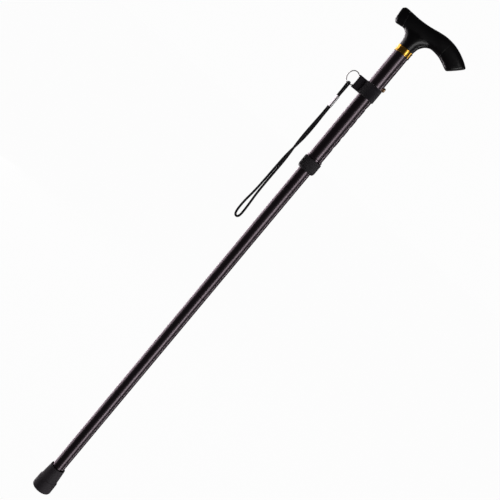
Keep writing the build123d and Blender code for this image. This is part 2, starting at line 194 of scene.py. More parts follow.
small_route = [
    (-1.8, -21.0), (-2.0, -12.0), (-2.5, -4.0), (-2.5, 1.0), (-1.6, 2.4), (1.6, 2.4),
    (2.5, 1.0), (2.5, -4.0), (2.1, -13.0), (1.8, -21.0),
]
small_points = [hang + (side * across_mm + Vector((0, 0, up_mm))) / 1000
                for across_mm, up_mm in small_route]
lobes = [hang - side * 0.0018, hang + side * 0.0018]
wrist_route = [
    (-1.0, 1.2, 14), (-1.8, 0.3, 34), (-2.2, -1.2, 54), (-1.6, -1.9, 70), (-0.3, -1.3, 88),
    (-0.4, -0.2, 108), (-0.9, 0, 132), (-0.8, 0, 154), (0.7, 0, 175), (0.9, 0, 194.5),
    (-6.9, 0, 194.5), (-7.6, 0, 174), (-5.2, 0, 153), (-4.3, 0.1, 131), (-3.8, 0.2, 108),
    (-3.3, 1.2, 88), (-1.2, 1.8, 70), (0.9, 1.0, 54), (1.5, 0.0, 34), (1.0, -1.2, 14),
]
crimp_foot = Vector((hang.x, hang.y, crimp_low.z))
wrist_points = [Vector((lobes[0].x, lobes[0].y, crimp_low.z))]
wrist_points += [crimp_foot + Vector((x, y, -down)) / 1000 for x, y, down in wrist_route]
wrist_points += [Vector((lobes[1].x, lobes[1].y, crimp_low.z))]

small_line = even_line(nurbs_line(small_points), 0.00035)
wrist_line = even_line(nurbs_line(wrist_points), 0.0005)
small_cord = braided_tube("lanyard_small_loop", small_line, CORD_SMALL, outward)
wrist_cord = braided_tube("lanyard_wrist_loop", wrist_line, CORD_WRIST, (1, 0, 0))
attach(small_cord, "lanyard")
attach(wrist_cord, "lanyard")
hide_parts("lanyard_loop")
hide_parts("wrist_loop")


# The cord's finish: black yarn with painted shade that darkens the gaps of the braid, and a slight sheen.


def add(tree, kind, inputs, **settings):
    """One shader node in a tree. A socket given as an input is linked, and a plain value is set."""
    node = tree.nodes.new(kind)
    for key, value in settings.items():
        setattr(node, key, value)
    for key, value in inputs.items():
        if isinstance(value, bpy.types.NodeSocket):
            tree.links.new(value, node.inputs[key])
        else:
            node.inputs[key].default_value = value
    return node


def new_finish(name, **plain):
    """A material, its node tree and its Principled shader, with the plain values given."""
    finish = bpy.data.materials.new(name)
    finish.use_nodes = True
    shader = finish.node_tree.nodes["Principled BSDF"]
    for key, value in plain.items():
        shader.inputs[key.replace("_", " ")].default_value = value
    return finish, finish.node_tree, shader


def bump(tree, shader, height, distance, strength=1.0):
    """Lets a height pattern, in metres times distance, tilt the shader's normal."""
    relief = add(tree, "ShaderNodeBump", {"Height": height, "Distance": distance,
                                          "Strength": strength})
    tree.links.new(relief.outputs["Normal"], shader.inputs["Normal"])


def ramp(tree, factor, *stops):
    """A colour ramp with (place, grey or colour) stops."""
    node = add(tree, "ShaderNodeValToRGB", {"Fac": factor})
    for index, (place, colour) in enumerate(stops):
        stop = node.color_ramp.elements[index] if index < 2 else node.color_ramp.elements.new(place)
        stop.position = place
        colour = (colour,) * 3 if isinstance(colour, float) else colour
        stop.color = (*colour, 1)
    return node.outputs["Color"]


def new_group(name, inputs, outputs):
    """An empty shader node group with its input values, and its outputs with their types."""
    group = bpy.data.node_groups.new(name, "ShaderNodeTree")
    for label, value in inputs.items():
        socket = group.interface.new_socket(label, in_out="INPUT", socket_type="NodeSocketFloat")
        socket.default_value = value
    for label, kind in outputs.items():
        group.interface.new_socket(label, in_out="OUTPUT", socket_type=kind)
    return group, group.nodes.new("NodeGroupInput"), group.nodes.new("NodeGroupOutput")


def use_group(tree, group, **values):
    """A group placed in a material, with this material's own values."""
    node = tree.nodes.new("ShaderNodeGroup")
    node.node_tree = group
    for key, value in values.items():
        node.inputs[key.replace("_", " ")].default_value = value
    return node.outputs


# Crossing yarns: two families of slanted bands on the piece's own map, and a mask of the gaps between
# them, where shade is painted.
yarns, given, result = new_group(
    "crossing_yarns", {"along": 1.0, "around": 1.0, "fray": 0.3},
    {"height": "NodeSocketFloat", "gap": "NodeSocketFloat"})
place = add(yarns, "ShaderNodeUVMap", {}, uv_map="surface")
parts = add(yarns, "ShaderNodeSeparateXYZ", {"Vector": place.outputs["UV"]})
lengthways = add(yarns, "ShaderNodeMath", {0: parts.outputs["X"], 1: given.outputs["along"]},
                 operation="MULTIPLY")
crossways = add(yarns, "ShaderNodeMath", {0: parts.outputs["Y"], 1: given.outputs["around"]},
                operation="MULTIPLY")
bands = []
for kind in ("ADD", "SUBTRACT"):
    slant = add(yarns, "ShaderNodeMath", {0: crossways.outputs[0], 1: lengthways.outputs[0]},
                operation=kind)
    turns = add(yarns, "ShaderNodeMath", {0: slant.outputs[0], 1: 2 * math.pi}, operation="MULTIPLY")
    bands.append(add(yarns, "ShaderNodeMath", {0: turns.outputs[0]}, operation="SINE").outputs[0])
crossing = add(yarns, "ShaderNodeMath", {0: bands[0], 1: bands[1]}, operation="MULTIPLY")
fluff_place = add(yarns, "ShaderNodeTexCoord", {})
fluff = add(yarns, "ShaderNodeTexNoise", {"Vector": fluff_place.outputs["Object"], "Scale": 2600.0,
                                          "Detail": 3.0})
loose = add(yarns, "ShaderNodeMath", {0: fluff.outputs[0], 1: given.outputs["fray"]},
            operation="MULTIPLY")
raised = add(yarns, "ShaderNodeMath", {0: crossing.outputs[0], 1: 0.5, 2: loose.outputs[0]},
             operation="MULTIPLY_ADD")
# The gap mask says where painted shade goes: 1 where the braid sits lowest, 0 where it is raised.
gap = add(yarns, "ShaderNodeMapRange", {"Value": crossing.outputs[0], "From Min": -1.0,
                                        "From Max": 0.2, "To Min": 1.0, "To Max": 0.0})
yarns.links.new(raised.outputs[0], result.inputs["height"])
yarns.links.new(gap.outputs[0], result.inputs["gap"])

cord_black, tree, shader = new_finish("cord_black", Roughness=0.78, Sheen_Weight=0.25,
                                      Sheen_Roughness=0.45, Specular_IOR_Level=0.35)
pattern = use_group(tree, yarns, fray=0.45)
# Painted shade: the base colour darkens in the braid's gaps.
tree.links.new(ramp(tree, pattern["gap"], (0.0, (0.024, 0.021, 0.025)), (1.0, (0.006, 0.0055, 0.0065))),
               shader.inputs["Base Color"])
bump(tree, shader, pattern["height"], 0.00012)
for cord in (small_cord, wrist_cord):
    cord.data.materials.append(cord_black)

# ---- Crimp -----------------------------------------------------------------------------
# A short flattened aluminium sleeve, squeezed over the four cord ends with three pinches
# and left with the two lobes that the cords fill. Bright tumbled finish.
CRIMP_HALF_WIDTH = 0.0039
CRIMP_HALF_DEPTH = 0.0021
CRIMP_WAIST = 0.16
PINCHES = 3
PINCH_DEPTH = 0.00022


def rounded(profile, radius, steps=4, closed=True):
    """A profile whose corners are eased: each corner c between neighbours a and b becomes
    the quadratic curve from c + r(a - c) through c to c + r(b - c), r in unit lengths."""
    profile = np.array(profile, float)
    before, after = np.roll(profile, 1, axis=0), np.roll(profile, -1, axis=0)
    towards, away = before - profile, after - profile
    reach_in = np.minimum(radius, 0.45 * np.linalg.norm(towards, axis=1))[:, None]
    reach_out = np.minimum(radius, 0.45 * np.linalg.norm(away, axis=1))[:, None]
    start = profile + towards / np.linalg.norm(towards, axis=1)[:, None] * reach_in
    end = profile + away / np.linalg.norm(away, axis=1)[:, None] * reach_out
    t = np.linspace(0, 1, steps)[None, :, None]
    eased = (start[:, None] * (1 - t) ** 2 + profile[:, None] * 2 * t * (1 - t)
             + end[:, None] * t ** 2)
    if not closed:
        eased[0], eased[-1] = profile[0], profile[-1]
    return eased.reshape(-1, 2)


share = np.linspace(0, 1, 61)[:, None]
angle = np.linspace(0, 2 * np.pi, 72, endpoint=False)[None, :]
end_ease = 1 - 0.05 * np.clip(1 - np.minimum(share, 1 - share) / 0.05, 0, 1) ** 2
pinch = PINCH_DEPTH * np.clip(np.cos(2 * np.pi * PINCHES * share), 0, 1) ** 2
waist = 1 - CRIMP_WAIST * np.exp(-(np.cos(angle) / 0.30) ** 2)
wide = CRIMP_HALF_WIDTH * np.sign(np.cos(angle)) * np.abs(np.cos(angle)) ** 0.80 * end_ease
deep = (CRIMP_HALF_DEPTH * waist * end_ease - pinch * (1 - 0.5 * np.abs(np.cos(angle))))
deep = deep * np.sign(np.sin(angle)) * np.abs(np.sin(angle)) ** 0.80
height = crimp_low.z + share * (crimp_high.z - crimp_low.z) + 0 * angle
flat_axis, thin_axis = np.array(side), np.array(outward)
grid = (np.array([hang.x, hang.y, 0.0]) + (wide + 0 * share)[..., None] * flat_axis
        + deep[..., None] * thin_axis + height[..., None] * [0, 0, 1])
crimp = grid_mesh("crimp_sleeve", grid, uv_scale=(18, 4), caps=True)
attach(crimp, "lanyard")
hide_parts("lanyard_crimp")

# Fine grain: small random unevenness of moulded, tumbled or anodised skin, and soft blotches.
grain, given, result = new_group(
    "fine_grain", {"size": 1500.0, "stretch": 1.0, "blotch size": 60.0},
    {"height": "NodeSocketFloat", "blotch": "NodeSocketFloat"})
place = add(grain, "ShaderNodeTexCoord", {})
squeeze = add(grain, "ShaderNodeCombineXYZ", {"X": 1.0, "Y": 1.0, "Z": given.outputs["stretch"]})
drawn = add(grain, "ShaderNodeVectorMath", {0: place.outputs["Object"], 1: squeeze.outputs[0]},
            operation="MULTIPLY")
fine = add(grain, "ShaderNodeTexNoise", {"Vector": drawn.outputs[0], "Scale": given.outputs["size"],
                                         "Detail": 4.0, "Roughness": 0.6})
blotch = add(grain, "ShaderNodeTexNoise", {"Vector": place.outputs["Object"],
                                           "Scale": given.outputs["blotch size"], "Detail": 2.0})
grain.links.new(fine.outputs[0], result.inputs["height"])
grain.links.new(blotch.outputs[0], result.inputs["blotch"])


def grained_finish(name, colours, roughness, relief, places=(0.3, 0.7), rough_by="blotch",
                   size=1500.0, stretch=1.0, blotch_size=60.0, **plain):
    """A finish on the fine grain: the blotches mix two colours, the blotches or the grain mix
    two roughnesses between two places, and the grain is the relief, in metres."""
    finish, tree, shader = new_finish(name, **plain)
    pattern = use_group(tree, grain, size=size, stretch=stretch, blotch_size=blotch_size)
    colour = ramp(tree, pattern["blotch"], (0.3, colours[0]), (0.7, colours[1]))
    tree.links.new(colour, shader.inputs["Base Color"])
    rough = ramp(tree, pattern[rough_by], *zip(places, roughness))
    tree.links.new(rough, shader.inputs["Roughness"])
    bump(tree, shader, pattern["height"], relief)
    return finish


crimp_bright = grained_finish(
    "crimp_bright", colours=((0.62, 0.60, 0.62), (0.86, 0.85, 0.87)),
    roughness=(0.20, 0.38), places=(0.25, 0.75), relief=0.000008,
    size=2200.0, blotch_size=300.0, Metallic=1.0)
crimp.data.materials.append(crimp_bright)

# ---- Split ring ------------------------------------------------------------------------
# Two turns of flat spring steel wire, bright nickel plated. The turns lie side by side and
# cross over once, where the wire's two cut ends are.
FLAT_WIDE = 0.00062          # half the wire's width, across the ring's radius
FLAT_THICK = 0.00031
TURN_APART = 0.00066
CROSSOVER = 0.12             # share of a turn
WIRE_EDGE = 0.00022
CUT_BEARING = 200            # degrees round the ring, where the wire starts

turn = np.linspace(0, 2, 241)
sweep = turn * 2 * np.pi + math.radians(CUT_BEARING)
ramp_up = np.clip((turn - 1 + CROSSOVER / 2) / CROSSOVER, 0, 1)
shift = TURN_APART * (ramp_up * ramp_up * (3 - 2 * ramp_up) - 0.5)
radial = (np.cos(sweep)[:, None] * np.array(outward) + np.sin(sweep)[:, None] * [0, 0, 1])
centreline = (np.array(ring_centre) + RING_RADIUS * radial + shift[:, None] * flat_axis)
section = rounded([(-FLAT_WIDE, -FLAT_THICK), (FLAT_WIDE, -FLAT_THICK),
                   (FLAT_WIDE, FLAT_THICK), (-FLAT_WIDE, FLAT_THICK)], WIRE_EDGE)
grid = (centreline[:, None] + section[None, :, 0, None] * radial[:, None]
        + section[None, :, 1, None] * flat_axis)
ring = grid_mesh("split_ring_coil", grid, uv_scale=(123, 1), caps=True)
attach(ring, "split_ring")
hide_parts("split_ring")
nickel = grained_finish(
    "nickel_plate", colours=((0.88, 0.87, 0.86), (0.96, 0.95, 0.94)),
    roughness=(0.22, 0.34), places=(0.3, 0.8), relief=0.000003,
    size=1800.0, blotch_size=220.0, Metallic=1.0)
ring.data.materials.append(nickel)

# ---- Strap band ------------------------------------------------------------------------
# One length of 20 mm hook-and-loop webbing. It goes round the upper tube and comes out as
# a flat tab of two layers, which turns round the split ring's wire and is sewn across.
STRAP_THICK = 0.00135
STRAP_MID_RADIUS = 0.0119
TAB_HALF = 0.00072           # half the distance between the tab's two layers
SELVEDGE = 0.0006            # the rounded edge begins this far in
FLARE = 0.0012               # the tab's corners reach further out than its middle
WEAVE_PITCH = 0.0010
WEAVE_RELIEF = 0.00005
WARP_STEP = 0.0013

strap_mid = (strap_low.z + strap_high.z) / 2
strap_half = (strap_high.z - strap_low.z) / 2


def loop_curve(points, step):
    """A closed Catmull-Rom curve through plan points, with its points a fixed step apart:
    each piece is the cubic of its four neighbouring points."""
    points = np.array(points, float)
    p0, p1, p2, p3 = (np.roll(points, k, axis=0)[:, None] for k in (1, 0, -1, -2))
    t = np.linspace(0, 1, 24, endpoint=False)[None, :, None]
    curve = 0.5 * (2 * p1 + (p2 - p0) * t + (2 * p0 - 5 * p1 + 4 * p2 - p3) * t ** 2
                   + (3 * p1 - p0 - 3 * p2 + p3) * t ** 3)
    curve = curve.reshape(-1, curve.shape[-1])
    curve = np.vstack([curve, curve[:1]])
    run = np.r_[0, np.cumsum(np.linalg.norm(np.diff(curve, axis=0), axis=1))]
    at = np.linspace(0, run[-1], int(run[-1] / step), endpoint=False)
    return np.stack([np.interp(at, run, curve[:, k]) for k in range(curve.shape[1])], 1), run[-1]


wire_x = swivel.x
leaving = [(wire_x - 0.00135, 0.0), (wire_x - 0.0009, 0.00100), (wire_x, 0.00135),
           (wire_x + 0.0014, 0.00105), (wire_x + 0.0036, TAB_HALF), (wire_x + 0.0066, TAB_HALF),
           (wire_x + 0.0084, 0.00110), (wire_x + 0.0098, 0.0026)]
round_tube = [(-STRAP_MID_RADIUS * math.cos(a), STRAP_MID_RADIUS * math.sin(a))
              for a in np.radians(np.arange(26, 335, 14))]
returning = [(x, -y) for x, y in reversed(leaving[1:])]
plan, strap_length = loop_curve(leaving + round_tube + returning, 0.00025)
ahead = np.roll(plan, -1, axis=0) - np.roll(plan, 1, axis=0)
ahead /= np.linalg.norm(ahead, axis=1, keepdims=True)
out_of = np.stack([-ahead[:, 1], ahead[:, 0]], 1)
face = np.linspace(-strap_half + SELVEDGE, strap_half - SELVEDGE, 78)
edge = np.linspace(-np.pi / 2, np.pi / 2, 5)[1:-1]
half = STRAP_THICK / 2
across_z = np.concatenate([face, strap_half - SELVEDGE + half * np.cos(edge),
                           face[::-2], -strap_half + SELVEDGE - half * np.cos(edge)])
across_n = np.concatenate([np.full(len(face), half), -half * np.sin(edge),
                           np.full(len(face[::-2]), -half), half * np.sin(edge)])
run = np.linspace(0, strap_length, len(plan), endpoint=False)[:, None]
rib = np.cos(2 * np.pi * across_z / WEAVE_PITCH)[None, :]
parity = np.where(np.floor(across_z / WEAVE_PITCH) % 2 > 0, np.pi, 0.0)[None, :]
relief = WEAVE_RELIEF * (0.5 + 0.5 * rib * np.cos(2 * np.pi * run / WARP_STEP + parity))
relief = relief * np.where(np.abs(across_n) > 0.9 * half, 1.0, 0.0)[None, :]
depth = across_n[None, :] + relief * np.sign(across_n)[None, :]
tab_share = np.clip((-plan[:, 0] - 0.016) / 0.008, 0, 1)[:, None]
stretch = FLARE * tab_share * (across_z[None, :] / strap_half) ** 2
grid = np.stack([plan[:, 0][:, None] - out_of[:, 0][:, None] * depth - stretch,
                 plan[:, 1][:, None] - out_of[:, 1][:, None] * depth,
                 strap_mid + across_z[None, :] + 0 * depth], -1)
strap = grid_mesh("strap_webbing", grid[:, ::-1], closed_u=True,
                  uv_scale=(strap_length / WEAVE_PITCH, 40))
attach(strap, "upper")
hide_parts("strap_band")

webbing, tree, shader = new_finish("webbing_black", Roughness=0.92, Sheen_Weight=0.5,
                                   Sheen_Roughness=0.5, Specular_IOR_Level=0.2)
pattern = use_group(tree, yarns, along=0.5, around=0.5, fray=0.9)
soft = use_group(tree, grain, size=900.0, blotch_size=120.0)
tree.links.new(ramp(tree, soft["blotch"], (0.3, (0.015, 0.012, 0.017)), (0.7, (0.025, 0.020, 0.027))),
               shader.inputs["Base Color"])
bump(tree, shader, pattern["height"], 0.00022)
strap.data.materials.append(webbing)

# The stitches: two rows of short black thread bars across the tab, on both of its faces.
STITCH_LENGTH = 0.0019
STITCH_RADIUS = 0.00022
STITCH_STEP = 0.0026
rows_x = (wire_x + 0.0030, wire_x + 0.0062)
places = np.arange(-strap_half + 0.0022, strap_half - 0.0018, STITCH_STEP)
share = np.linspace(0, 1, 7)
lift = 0.9 * STITCH_RADIUS * np.sin(np.pi * share)
thick = STITCH_RADIUS * np.sqrt(np.clip(1 - (2 * share - 1) ** 6, 0.02, 1))
ring_angle = np.linspace(0, 2 * np.pi, 8, endpoint=False)
stitch = np.stack([thick[:, None] * np.cos(ring_angle) + 0 * share[:, None],
                   thick[:, None] * np.sin(ring_angle) + lift[:, None],
                   (share[:, None] - 0.5) * STITCH_LENGTH + 0 * ring_angle], -1)
stitch_pieces = []
for row_x in rows_x:
    for z in places:
        for face_side in (-1, 1):
            seat = np.array([row_x, face_side * (TAB_HALF + half + 0.00004), strap_mid + z])
            one = stitch * [1, face_side, face_side] + seat
            stitch_pieces.append(grid_mesh("stitch", one, caps=True))
thread = stitch_pieces[0]
with bpy.context.temp_override(active_object=thread, object=thread,
                               selected_editable_objects=stitch_pieces):
    bpy.ops.object.join()
thread.name = "strap_stitches"
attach(thread, "upper")
thread_black, tree, shader = new_finish("thread_black", Roughness=0.55, Sheen_Weight=0.3)
pattern = use_group(tree, grain, size=3000.0)
tree.links.new(ramp(tree, pattern["height"], (0.3, (0.010, 0.009, 0.011)), (0.7, (0.030, 0.027, 0.031))),
               shader.inputs["Base Color"])
thread.data.materials.append(thread_black)

# ---- Handle ----------------------------------------------------------------------------
# A derby grip in three black moulded pieces: the middle with the neck and the stem that
# goes into the tube, and a nose end and a tail end pressed on at two fine seams.
SKIN_VOXEL = 0.00062
SEAM_GAP = 0.00002
SEAM_EASE = 0.00042
GRIP_SQUARENESS = 2.35       # 2 is an ellipse
TAIL_DOME, NOSE_DOME = 0.0013, 0.0014
END_SHARE = 0.10
ring_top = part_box("collar_ring")[1].z
tube_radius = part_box("upper_tube")[1].x

# Grip sections from the tail to the nose, in millimetres from the shaft's axis and from
# the gold ring's top: underside x, z, top x, z, and half the depth.
grip_sections = np.array([
    (-35.6, 20.4, -37.4, 39.2, 9.4), (-33.0, 18.5, -34.6, 41.9, 11.0),
    (-27.0, 19.0, -28.8, 42.0, 11.8), (-20.0, 19.8, -21.0, 41.6, 12.3),
    (-8.0, 20.2, -8.5, 41.3, 12.5), (6.0, 20.6, 6.5, 42.4, 12.6),
    (19.0, 20.9, 19.5, 44.6, 12.6), (30.0, 20.9, 31.5, 45.9, 12.5),
    (39.5, 19.6, 43.5, 45.2, 12.3), (46.0, 17.4, 53.5, 42.9, 12.0),
    (51.5, 15.0, 62.5, 39.4, 11.5), (55.6, 13.0, 70.5, 35.3, 10.9),
    (58.2, 12.2, 77.6, 30.6, 10.2),
]) / 1000


def through(rows, steps):
    """Rows of numbers joined by an open Catmull-Rom curve, steps points to each gap."""
    padded = np.vstack([2 * rows[0] - rows[1], rows, 2 * rows[-1] - rows[-2]])
    p0, p1, p2, p3 = (padded[k:len(padded) - 3 + k, None] for k in range(4))
    t = np.linspace(0, 1, steps, endpoint=False)[None, :, None]
    curve = 0.5 * (2 * p1 + (p2 - p0) * t + (2 * p0 - 5 * p1 + 4 * p2 - p3) * t ** 2
                   + (3 * p1 - p0 - 3 * p2 + p3) * t ** 3)
    return np.vstack([curve.reshape(-1, rows.shape[1]), rows[-1:]])


def oval_rows(sections, squareness):
    """Rings of points: centre + half height * sin(a)^(2/n) + half depth * cos(a)^(2/n) in Y."""
    low = np.stack([sections[:, 0], 0 * sections[:, 0], sections[:, 1]], 1)
    high = np.stack([sections[:, 2], 0 * sections[:, 0], sections[:, 3]], 1)
    a = np.linspace(0, 2 * np.pi, 72, endpoint=False)
    rise = np.sign(np.sin(a)) * np.abs(np.sin(a)) ** (2 / squareness)
    reach = np.sign(np.cos(a)) * np.abs(np.cos(a)) ** (2 / squareness)
    middle, half_up = (low + high) / 2, (high - low) / 2
    return (middle[:, None] + half_up[:, None] * rise[None, :, None]
            + sections[:, 4][:, None, None] * reach[None, :, None] * [0, 1, 0])


def domed_end(ring, ahead, rise, steps=6):
    """Rings that close an end: each is 1 - share * (1 - cos(t)) of the first in size and
    lies rise * sin(t) further out."""
    t = np.linspace(0, np.pi / 2, steps)[1:-1, None, None]
    middle = ring.mean(axis=0)
    smaller = 1 - END_SHARE * (1 - np.cos(t))
    return middle + (ring - middle) * smaller + ahead * rise * np.sin(t)


sections = through(grip_sections, 6)
rings = oval_rows(sections, GRIP_SQUARENESS)
tail_out = np.array([-1.0, 0, 0.06])
nose_line = grip_sections[-1, 2:4] - grip_sections[-1, :2]
nose_out = np.array([nose_line[1], 0, -nose_line[0]]) / np.linalg.norm(nose_line)
tail_rings = domed_end(rings[0], tail_out, TAIL_DOME)[::-1]
nose_rings = domed_end(rings[-1], nose_out, NOSE_DOME)
bar_grid = np.vstack([tail_rings, rings, nose_rings])
bar_grid = bar_grid + [0, 0, ring_top]
neck = np.array([
    # height, tail side x, nose side x, half depth
    (-23.5, -9.9, 9.9, 9.9), (-0.5, -9.9, 9.9, 9.9), (0.0, -11.3, 11.3, 11.3),
    (3.5, -11.3, 11.6, 11.3), (6.8, -11.5, 12.2, 11.3), (10.3, -12.2, 13.2, 11.4),
    (13.5, -13.4, 15.3, 11.6), (16.6, -15.6, 17.9, 11.7), (19.0, -18.8, 21.2, 11.6),
    (21.2, -22.6, 25.8, 11.0), (23.5, -24.5, 29.0, 9.8), (26.0, -24.0, 28.5, 8.0),
]) / 1000
neck = np.vstack([neck[:3], through(neck[2:], 5)[1:]])
a = np.linspace(0, 2 * np.pi, 72, endpoint=False)[None, :]
neck_grid = np.stack([
    (neck[:, 1] + neck[:, 2])[:, None] / 2 + (neck[:, 2] - neck[:, 1])[:, None] / 2 * np.cos(a),
    neck[:, 3][:, None] * np.sin(a), ring_top + neck[:, 0][:, None] + 0 * a], -1)
grip = grid_mesh("grip_raw", bar_grid, caps=True)
stem = grid_mesh("stem_raw", neck_grid, caps=True)


def turn_out(piece):
    """Recalculates a closed piece's normals so that its faces point outwards."""
    form = bmesh.new()
    form.from_mesh(piece.data)
    bmesh.ops.recalc_face_normals(form, faces=form.faces)
    form.to_mesh(piece.data)
    form.free()


turn_out(grip)
turn_out(stem)
with bpy.context.temp_override(active_object=grip, object=grip,
                               selected_editable_objects=[grip, stem]):
    bpy.ops.object.join()
skin = grip.modifiers.new("skin", "REMESH")
skin.mode = "VOXEL"
skin.voxel_size = SKIN_VOXEL


def finished_mesh(piece):
    """The piece's mesh with its modifiers worked in. The piece itself is removed."""
    mesh = bpy.data.meshes.new_from_object(
        piece.evaluated_get(bpy.context.evaluated_depsgraph_get()))
    bpy.data.objects.remove(piece)
    return mesh


# The crook under the grip is eased most: the share of the extra smoothing is
# exp(-(height from the crook / spread)^2), and fades out towards the two seams.
CROOK_HEIGHT = 0.0205
CROOK_SPREAD = 0.0060
CROOK_MIDDLE, CROOK_REACH, CROOK_FADE = 0.004, 0.034, 0.010
eased = bpy.data.objects.new("grip_eased", finished_mesh(grip))
bpy.context.scene.collection.objects.link(eased)
points = np.empty(len(eased.data.vertices) * 3)
eased.data.vertices.foreach_get("co", points)
points = points.reshape(-1, 3)
crook = np.exp(-((points[:, 2] - ring_top - CROOK_HEIGHT) / CROOK_SPREAD) ** 2)
crook *= np.clip((CROOK_REACH - np.abs(points[:, 0] - CROOK_MIDDLE)) / CROOK_FADE, 0, 1)
group = eased.vertex_groups.new(name="crook")
for step in range(1, 11):
    chosen = np.flatnonzero(np.round(crook * 10) == step)
    group.add(chosen.tolist(), step / 10, "REPLACE")
for label, turns, where in (("ease", 24, ""), ("fillet", 110, "crook")):
    smooth = eased.modifiers.new(label, "SMOOTH")
    smooth.factor = 0.5
    smooth.iterations = turns
    smooth.vertex_group = where
whole = finished_mesh(eased)


def cut_piece(name, cuts):
    """The part of the grip between planes given as (x, z, lean, which way is kept). Each
    cut face is flat, and its edge is eased by drawing the last ring of skin inwards."""
    form = bmesh.new()
    form.from_mesh(whole)
    for x, z, lean, keep in cuts:
        normal = Vector((1, 0, -lean)).normalized()
        flat = Vector((x / 1000, 0, ring_top + z / 1000)) - normal * keep * SEAM_GAP
        for offset, clear in ((SEAM_EASE, False), (0.0, True)):
            bmesh.ops.bisect_plane(
                form, geom=form.verts[:] + form.edges[:] + form.faces[:], dist=1e-6,
                plane_co=flat - normal * keep * offset, plane_no=normal * keep,
                clear_outer=clear, clear_inner=False)
        bmesh.ops.dissolve_degenerate(form, edges=form.edges[:], dist=SKIN_VOXEL / 10)
        for vert in {v for e in form.edges if len(e.link_faces) == 1 for v in e.verts}:
            vert.co -= normal * (vert.co - flat).dot(normal)
        form.normal_update()
        rim = [e for e in form.edges if len(e.link_faces) == 1]
        for vert in {v for e in rim for v in e.verts}:
            vert.co -= vert.normal * SEAM_EASE * 0.6
        bmesh.ops.holes_fill(form, edges=rim, sides=0)
        bmesh.ops.triangulate(form, faces=[f for f in form.faces if len(f.verts) > 4])
    bmesh.ops.recalc_face_normals(form, faces=form.faces)
    mesh = bpy.data.meshes.new(name)
    form.to_mesh(mesh)
    form.free()
    mesh.polygons.foreach_set("use_smooth", [True] * len(mesh.polygons))
    piece = bpy.data.objects.new(name, mesh)
    bpy.context.scene.collection.objects.link(piece)
    return piece


tail_seam, nose_seam = (-24.0, 28.0, -0.16), (41.0, 29.0, 0.075)
grip_middle = cut_piece("grip_middle", [(*tail_seam, -1), (*nose_seam, 1)])
grip_tail = cut_piece("grip_tail_end", [(*tail_seam, 1)])
grip_nose = cut_piece("grip_nose_end", [(*nose_seam, -1)])

moulded = grained_finish(
    "moulded_black", colours=((0.0026, 0.0022, 0.0028), (0.0042, 0.0036, 0.0044)),
    roughness=(0.27, 0.36), places=(0.25, 0.75), relief=0.00005,
    size=1400.0, blotch_size=45.0, Specular_IOR_Level=0.55, IOR=1.5)
for piece, node in ((grip_middle, "handle_body"), (grip_tail, "handle_tail_cap"),
                    (grip_nose, "handle_nose_cap")):
    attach(piece, "upper")
    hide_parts(node)
    piece.data.materials.append(moulded)

# ---- Gold ring -------------------------------------------------------------------------
# A thin spun brass sleeve, gold plated and polished, slid over the top of the tube under
# the handle. Its two edges are rolled into small beads.


def turned(name, profile, columns=128, ripple=None, uv_scale=(1, 1)):
    """A closed half section (radius, height) turned about the shaft: point = (r cos a,
    r sin a, z). A ripple changes r with the angle."""
    a = np.linspace(0, 2 * np.pi, columns, endpoint=False)[None, :]
    radius = profile[:, 0][:, None] + (0 if ripple is None else ripple(profile, a))
    grid = np.stack([radius * np.cos(a), radius * np.sin(a), profile[:, 1][:, None] + 0 * a], -1)
    piece = grid_mesh(name, grid, closed_u=True, uv_scale=uv_scale)
    turn_out(piece)
    return piece


ring_low_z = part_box("collar_ring")[0].z
bead, bead_flat, bead_end = 0.0004, 0.0012, 0.0017
inner, outer = tube_radius + 0.00005, tube_radius + 0.00055
gold_profile = rounded([
    (inner, ring_low_z), (outer + bead, ring_low_z), (outer + bead, ring_low_z + bead_flat),
    (outer, ring_low_z + bead_end), (outer, ring_top - bead_end), (outer + bead, ring_top - bead_flat),
    (outer + bead, ring_top), (inner, ring_top)], 0.0004, steps=5)
gold_ring = turned("gold_sleeve", gold_profile, columns=160)
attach(gold_ring, "upper")
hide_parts("collar_ring")
gold = grained_finish(
    "gold_plate", colours=((0.80, 0.43, 0.06), (0.92, 0.53, 0.10)),
    roughness=(0.16, 0.30), rough_by="height", relief=0.000003,
    size=500.0, stretch=14.0, blotch_size=90.0, Metallic=1.0)
gold_ring.data.materials.append(gold)

# ---- Tubes -----------------------------------------------------------------------------
# Drawn aluminium tube, black anodised: the upper tube, the extension tube in it, and the
# three folding tubes with the necked sleeves that bridge their joints.
anodised = grained_finish(
    "anodised_black", colours=((0.115, 0.092, 0.105), (0.150, 0.122, 0.138)),
    roughness=(0.26, 0.36), rough_by="height", relief=0.0000025,
    size=1900.0, stretch=0.03, blotch_size=16.0, Metallic=1.0)
tube_nodes = ["upper_tube", "extension_tube", "middle_tube", "lower_tube", "foot_tube",
              "fold_sleeve_1", "fold_sleeve_2", "fold_sleeve_3"]
for name in tube_nodes:
    nodes[name].data.materials.clear()
    nodes[name].data.materials.append(anodised)


def row_between(start, end, count):
    """Profile points spread evenly along a straight run, without its last point."""
    t = np.linspace(0, 1, count, endpoint=False)[:, None]
    return np.array(start) * (1 - t) + np.array(end) * t


# ---- Lock collar and its collet --------------------------------------------------------
# A moulded black collar with fine grip ribs turns on the collet's thread and squeezes it
# on the extension tube. Above it shows the collet's lip, which is polished and anodised.
RIBS = 64
RIB_DEPTH = 0.00030
COLLAR_EDGE = 0.0005

